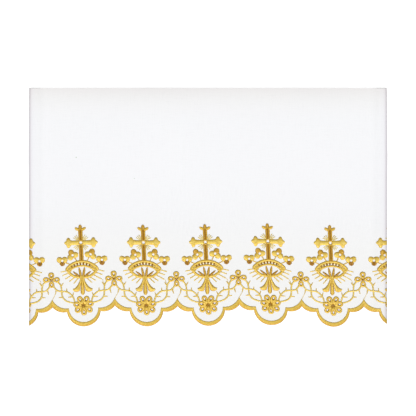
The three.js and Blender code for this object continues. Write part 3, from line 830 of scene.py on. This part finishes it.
# %% How a three-petalled flower is stitched
SPOT = 2.0
SPOT_RING = {"radius": 5.2, "hole": SPOT, "relief": 0.85, "tones": (0.6, 0.7, 0.55)}
PETAL_RADIUS, BROWN_PETAL_RADIUS = 5.3, 4.8
PETAL_REACH, ROUND_PETAL_RELIEF = (0.5, 0.85, 1), 1.05
STALK_WIDTH, STALK_RELIEF, STALK_TONES = 2.0, 0.6, (0.6, 0.8, 0.6)
LIGHT, DARK, BROWN = (0.66, 0.9, 0.66), (0.45, 0.48, 0.45), (0.35, 0.0, 0.35)
TREFOILS = {
    "inner_left": {
        "centre": (-15.2, 123.3),
        "petals": [(-10.4, 124.0, LIGHT), (-17.7, 127.9, DARK), (-19.4, 119.7, LIGHT)],
        "stalk": [(-7.5, 111.9), (-12.9, 120.5)],
    },
    "outer_left": {
        "centre": (-33.8, 114.0),
        "petals": [(-29.6, 116.0, LIGHT), (-38.3, 116.0, LIGHT), (-33.8, 109.8, BROWN)],
        "stalk": [(-19.8, 107.4), (-30.8, 112.2)],
    },
    "inner_right": {
        "centre": (16.1, 124.1),
        "petals": [(18.4, 128.5, DARK), (11.0, 124.3, LIGHT), (20.3, 120.5, LIGHT)],
        "stalk": [(9, 111.9), (14.3, 121.1)],
    },
    "outer_right": {
        "centre": (35.0, 114.2),
        "petals": [(39.1, 116.4, LIGHT), (30.3, 116.2, LIGHT), (35.0, 109.9, BROWN)],
        "stalk": [(21.4, 107.4), (32.4, 112.4)],
    },
}


def trefoil(store, k, centre, petals, stalk):
    stroke(store, k, [(u, v, STALK_WIDTH) for u, v in stalk], STALK_RELIEF, STALK_TONES)
    round_pad(store, k, centre, **SPOT_RING)
    for u, v, tones in petals:
        radius = BROWN_PETAL_RADIUS if tones == BROWN else PETAL_RADIUS
        out = math.hypot(u - centre[0], v - centre[1])
        du, dv = (u - centre[0]) / out, (v - centre[1]) / out
        rows = []
        for far in (SPOT, 0.6 * SPOT + 0.4 * out, out, *(out + part * radius for part in PETAL_REACH)):
            width = 2 * math.sqrt(max(radius**2 - (far - out) ** 2, 0.1))
            rows.append((centre[0] + far * du, centre[1] + far * dv, width))
        stroke(store, k, rows, ROUND_PETAL_RELIEF, tones)


# %% Stitch every whole cross
cross_pieces = {}
for k in WHOLE_REPEATS:
    store = Stitches()
    cross(store, k)
    crown(store, k)
    for flower_table in TREFOILS.values():
        trefoil(store, k, **flower_table)
    cross_pieces[f"cross_and_crown_{k + 1}"] = make_stitches(f"cross_and_crown_stitches_{k + 1}", store)

# %% [markdown]
# ## What the sides cut off
# The border runs on past the sides of the cloth, so at each side a part of one more repeat shows. The side
# leaves three parts that don't touch: an arm of the cross, an end of the crown with a flower, and a flower.

# %% Stitch what shows at the sides
for side, k, inner, outer in (
    ("left", -1, "inner_right", "outer_right"),
    ("right", 5, "inner_left", "outer_left"),
):
    arm_store, crown_store, flower_store = Stitches(), Stitches(), Stitches()
    cross(arm_store, k)
    cross_pieces[f"cross_arm_{side}"] = make_stitches(f"cross_arm_stitches_{side}", arm_store)
    crown(crown_store, k)
    trefoil(crown_store, k, **TREFOILS[outer])
    cross_pieces[f"crown_end_{side}"] = make_stitches(f"crown_end_stitches_{side}", crown_store)
    trefoil(flower_store, k, **TREFOILS[inner])
    cross_pieces[f"trefoil_{side}"] = make_stitches(f"trefoil_stitches_{side}", flower_store)

# %% [markdown]
# ## The finish of the linen
# Plain weave: each thread goes over one and under the next, so the bump is a small chequer of two sine waves.
# Slubs, the thicker places in the yarn, are noise that is stretched along each direction.
# Both use the cloth's own coordinates, so they stay on it from every side. The helpers come first, because
# the gold needs them too.

# %% Helpers for materials


def material(name):
    """A new material, its node tree and its shader."""
    made = bpy.data.materials.new(name)
    made.use_nodes = True
    return made, made.node_tree, made.node_tree.nodes["Principled BSDF"]


def feed(tree, socket, value):
    """Gives a socket its value: the output of another node, or a plain number or colour."""
    if isinstance(value, bpy.types.NodeSocket):
        tree.links.new(value, socket)
    elif value is not None:
        socket.default_value = value


def calc(tree, operation, a, b=None):
    node = tree.nodes.new("ShaderNodeMath")
    node.operation = operation
    feed(tree, node.inputs[0], a)
    feed(tree, node.inputs[1], b)
    return node.outputs[0]


def noise(tree, where, scale):
    node = tree.nodes.new("ShaderNodeTexNoise")
    node.inputs["Scale"].default_value = scale
    node.inputs["Detail"].default_value = 2
    tree.links.new(where, node.inputs["Vector"])
    return node.outputs["Fac"]


def bump(tree, shader, height, strength, depth):
    """Bumps the shader's surface. depth is in millimetres."""
    node = tree.nodes.new("ShaderNodeBump")
    node.inputs["Strength"].default_value = strength
    node.inputs["Distance"].default_value = depth * MM
    tree.links.new(height, node.inputs["Height"])
    tree.links.new(node.outputs[0], shader.inputs["Normal"])


def linear(red, green, blue):
    """A colour as a screen shows it, 0 to 255, in the linear values that the shader takes."""
    values = [c / 255 for c in (red, green, blue)]
    return [c / 12.92 if c <= 0.04045 else ((c + 0.055) / 1.055) ** 2.4 for c in values] + [1]


def colour_ramp(tree, value, stops):
    """Colours over a value, from stops of (position, colour)."""
    node = tree.nodes.new("ShaderNodeValToRGB")
    elements = node.color_ramp.elements
    while len(elements) < len(stops):
        elements.new(0.5)
    for element, (position, colour) in zip(elements, stops):
        element.position = position
        element.color = colour
    tree.links.new(value, node.inputs["Fac"])
    return node.outputs[0]


def mixed(tree, a, b, factor=1, blend="MULTIPLY"):
    node = tree.nodes.new("ShaderNodeMix")
    node.data_type, node.blend_type = "RGBA", blend
    for label, value in (("Factor", factor), ("A", a), ("B", b)):
        feed(tree, node.inputs[label], value)
    return node.outputs["Result"]


print("middle grey in linear values:", round(linear(128, 128, 128)[0], 3))

# %% Weave and slubs
WEAVE_PITCH, WEAVE_SHARE, WEAVE_BUMP, WEAVE_DEPTH = 0.45, 0.35, 0.25, 0.06
SLUB_SCALE, SLUB_STRETCH = 60, 30
linen_finish, tree, shader = material("white_linen")
where = tree.nodes.new("ShaderNodeTexCoord").outputs["Object"]
split = tree.nodes.new("ShaderNodeSeparateXYZ")
tree.links.new(where, split.inputs[0])
turns = math.pi / (WEAVE_PITCH * MM)
wave_x, wave_y = (calc(tree, "SINE", calc(tree, "MULTIPLY", split.outputs[axis], turns)) for axis in "XY")
chequer = calc(tree, "MULTIPLY", wave_x, wave_y)


def slubs(stretch):
    mapping = tree.nodes.new("ShaderNodeMapping")
    mapping.inputs["Scale"].default_value = stretch
    tree.links.new(where, mapping.inputs["Vector"])
    return noise(tree, mapping.outputs[0], SLUB_SCALE)


slub_sum = calc(tree, "ADD", slubs((1, SLUB_STRETCH, 1)), slubs((SLUB_STRETCH, 1, 1)))
weave_height = calc(tree, "ADD", calc(tree, "MULTIPLY", chequer, WEAVE_SHARE), slub_sum)
bump(tree, shader, weave_height, WEAVE_BUMP, WEAVE_DEPTH)
print("nodes for the weave:", len(tree.nodes))

# %% [markdown]
# ## The colour of the linen
# White linen is never one white. The slubs tint it a very little, and it carries two tiny flecks of lint.
# The turned hem is painted greyer towards its outer fold, a painted shade where the linen turns under.
# The cloth is painted a little warmer and darker towards the border, a painted reflection of the gold on it,
# and a little warmer along the fold at the top. Each of these is a ramp, and they are multiplied.

# %% Colour of the linen
SLUB_TINT = [(0.7, linear(230.5, 228.2, 230.0)), (1.0, linear(234.5, 232.2, 234.0))]
FLECK_COLOUR = linear(196, 203, 192)
FLECKS = [{"at": (-227.0, 86.1), "size": 1.1}, {"at": (-126.9, 49.8), "size": 0.8}]
# Painted shade: the hem is coloured greyer towards its outer fold, for the shade where the linen turns under.
HEM_SHADE_WIDTH = 16
HEM_PAINTED_SHADE = [
    (0.0, (0.800, 0.770, 0.790, 1)),
    (0.19, (0.820, 0.785, 0.812, 1)),
    (0.30, (0.938, 0.922, 0.942, 1)),
    (0.5, (0.975, 0.970, 0.980, 1)),
    (1.0, (1, 1, 1, 1)),
]
# Painted reflection: warmer and a little darker towards the border, for the gold's reflected light; warmer
# along the fold at the top.
GOLD_REFLECTION_AND_WARMTH = [
    (0.0, (0.963, 0.981, 0.953, 1)),
    (0.23, (0.966, 0.987, 0.958, 1)),
    (0.30, (0.973, 0.995, 0.972, 1)),
    (0.37, (0.979, 1, 0.986, 1)),
    (0.47, (0.975, 1, 0.998, 1)),
    (0.68, (0.974, 0.999, 1, 1)),
    (0.86, (0.973, 1, 1, 1)),
    (0.91, (0.979, 1, 0.994, 1)),
    (0.95, (0.981, 1, 0.984, 1)),
    (1.0, (1, 1, 0.976, 1)),
]

near = []
for fleck in FLECKS:
    away = tree.nodes.new("ShaderNodeVectorMath")
    away.operation = "DISTANCE"
    tree.links.new(where, away.inputs[0])
    away.inputs[1].default_value = [c * MM for c in (*fleck["at"], linen_height(*fleck["at"]))]
    near.append(calc(tree, "LESS_THAN", away.outputs["Value"], fleck["size"] * MM))
tint = colour_ramp(tree, slub_sum, SLUB_TINT)
flecked = mixed(tree, tint, FLECK_COLOUR, calc(tree, "MAXIMUM", *near), "MIX")

# Painted shade, greyer towards the outer fold of each side hem
inset = calc(tree, "SUBTRACT", EDGE * MM, calc(tree, "ABSOLUTE", split.outputs["X"]))
hem_painted_shade = colour_ramp(tree, calc(tree, "DIVIDE", inset, HEM_SHADE_WIDTH * MM), HEM_PAINTED_SHADE)
# Painted reflection of the gold, by height on the cloth
height_share = calc(tree, "ADD", calc(tree, "DIVIDE", split.outputs["Y"], CLOTH_DEPTH * MM), 0.5)
painted_reflection_and_warmth = colour_ramp(tree, height_share, GOLD_REFLECTION_AND_WARMTH)
tree.links.new(mixed(tree, mixed(tree, flecked, hem_painted_shade), painted_reflection_and_warmth), shader.inputs["Base Color"])
shader.inputs["Roughness"].default_value = 0.9
shader.inputs["Specular IOR Level"].default_value = 0.2
shader.inputs["Sheen Weight"].default_value = 0.05
linen_piece.data.materials.append(linen_finish)
print(linen_finish.name, "has", len(tree.nodes), "nodes")

# %% [markdown]
# ## Gold thread
# The thread is a polished yarn in a few dyes of gold, from brown to straw. The tone that each stitch
# remembers picks its colour from one ramp, so it gives both the dye and the painted shade and highlight across
# the stitches. Fine noise makes the colour a little uneven. The surface is partly metallic, and the yarn's
# twist runs along each thread as bump, because it is finer than any mesh should be.

# %% Gold
# One ramp for the thread's dyes and for the painted shade and highlight of the satin, picked by tone.
GOLD_DYES_AND_SHADE = [
    (0.0, linear(130, 84, 2)),
    (0.2, linear(164, 116, 14)),
    (0.45, linear(186, 143, 42)),
    (0.7, linear(207, 171, 66)),
    (0.9, linear(218, 190, 91)),
    (1.0, linear(222, 206, 140)),
]
DYE_NOISE_SCALE, DYE_UNEVEN = 450, 0.16
TWIST_PITCH, TWIST_BUMP, TWIST_DEPTH = 0.7, 0.35, 0.05


def gold_thread(name, pieces):
    """Gold thread for some pieces, whose points carry a tone, with painted shade in it, and a twist."""
    made, tree, shader = material(name)
    remembered = {}
    for label in ("tone", "twist"):
        node = tree.nodes.new("ShaderNodeAttribute")
        node.attribute_name = label
        remembered[label] = node.outputs["Fac"]
    where = tree.nodes.new("ShaderNodeTexCoord").outputs["Object"]
    uneven = calc(tree, "SUBTRACT", noise(tree, where, DYE_NOISE_SCALE), 0.5)
    tone = calc(tree, "ADD", remembered["tone"], calc(tree, "MULTIPLY", uneven, DYE_UNEVEN))
    tree.links.new(colour_ramp(tree, tone, GOLD_DYES_AND_SHADE), shader.inputs["Base Color"])
    turns = calc(tree, "MULTIPLY", remembered["twist"], 2 * math.pi / TWIST_PITCH)
    bump(tree, shader, calc(tree, "SINE", turns), TWIST_BUMP, TWIST_DEPTH)
    shader.inputs["Metallic"].default_value = 0.25
    shader.inputs["Roughness"].default_value = 0.42
    shader.inputs["Specular IOR Level"].default_value = 0.35
    for piece in pieces:
        piece.data.materials.append(made)
    print(name, "is on", len(pieces), "pieces")


gold_thread("gold_edge_thread", [satin_edge])
gold_thread("gold_vine_thread", [vine_piece])
gold_thread("gold_cross_thread", list(cross_pieces.values()))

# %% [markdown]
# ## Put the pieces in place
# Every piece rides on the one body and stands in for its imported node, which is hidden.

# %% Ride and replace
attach(linen_piece, "root")
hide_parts("cloth")
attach(satin_edge, "root")
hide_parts("scallop_edge")
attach(vine_piece, "root")
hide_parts("thorn_vine")
for node, piece in cross_pieces.items():
    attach(piece, "root")
    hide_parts(node)
print("nodes that are dressed:", 3 + len(cross_pieces))

# %% [markdown]
# ## The floor
# The photo shows the cloth cut out on white. A grey floor that glows white gives the same ground, and the
# cloth's own shadow still falls on it. It is wide enough to fill the low views too. Its glow is kept from
# lighting the cloth, which would wash out the folds.

# %% Floor
FLOOR_REACH = 40.0
FLOOR_GREY, FLOOR_GLOW = 0.3, 0.92
floor_mesh = bpy.data.meshes.new("floor")
floor_corners = [(x * FLOOR_REACH, y * FLOOR_REACH, 0) for x, y in ((-1, -1), (1, -1), (1, 1), (-1, 1))]
floor_mesh.from_pydata(floor_corners, [], [(0, 1, 2, 3)])
floor = bpy.data.objects.new("floor", floor_mesh)
bpy.context.scene.collection.objects.link(floor)
floor_finish, tree, shader = material("pale_floor")
shader.inputs["Base Color"].default_value = (FLOOR_GREY, FLOOR_GREY, FLOOR_GREY, 1)
shader.inputs["Emission Color"].default_value = (1, 1, 1, 1)
shader.inputs["Emission Strength"].default_value = FLOOR_GLOW
shader.inputs["Roughness"].default_value = 1
shader.inputs["Specular IOR Level"].default_value = 0
floor_mesh.materials.append(floor_finish)
floor.visible_diffuse = False
print("floor:", 2 * FLOOR_REACH, "m wide")

# %% [markdown]
# ## Light and camera
# One wide soft light stands high on the border's side. It comes in at a slant, so the roll at the top, the
# droop of the hems and every thread of the satin show their shade. A dim sky fills the shadows.
# The camera looks straight down from two metres, as the photo does, with a long lens.

# %% Light
SOFTBOX_ELEVATION, SOFTBOX_WIDTH, SOFTBOX_STRENGTH = 55, 35, 3.66
softbox_data = bpy.data.lights.new("softbox", "SUN")
softbox_data.angle = math.radians(SOFTBOX_WIDTH)
softbox_data.energy = SOFTBOX_STRENGTH
softbox = bpy.data.objects.new("softbox", softbox_data)
softbox.rotation_euler = (math.radians(90 - SOFTBOX_ELEVATION), 0, 0)
bpy.context.scene.collection.objects.link(softbox)

world = bpy.data.worlds.new("studio")
world.use_nodes = True
sky = world.node_tree.nodes["Background"]
sky.inputs["Color"].default_value = (0.96, 0.965, 0.97, 1)
sky.inputs["Strength"].default_value = 0.2
bpy.context.scene.world = world
bpy.context.scene.view_settings.view_transform = "Standard"
print("softbox at", SOFTBOX_ELEVATION, "degrees, sky at", sky.inputs["Strength"].default_value)

# %% Camera
CAMERA_AT = (0, -0.0011, 1.994)
camera_data = bpy.data.cameras.new("camera")
camera_data.lens = 100
camera_data.sensor_width = 36
camera = bpy.data.objects.new("camera", camera_data)
camera.location = CAMERA_AT
bpy.context.scene.collection.objects.link(camera)
bpy.context.scene.camera = camera
print("camera", CAMERA_AT[2], "m over the floor")
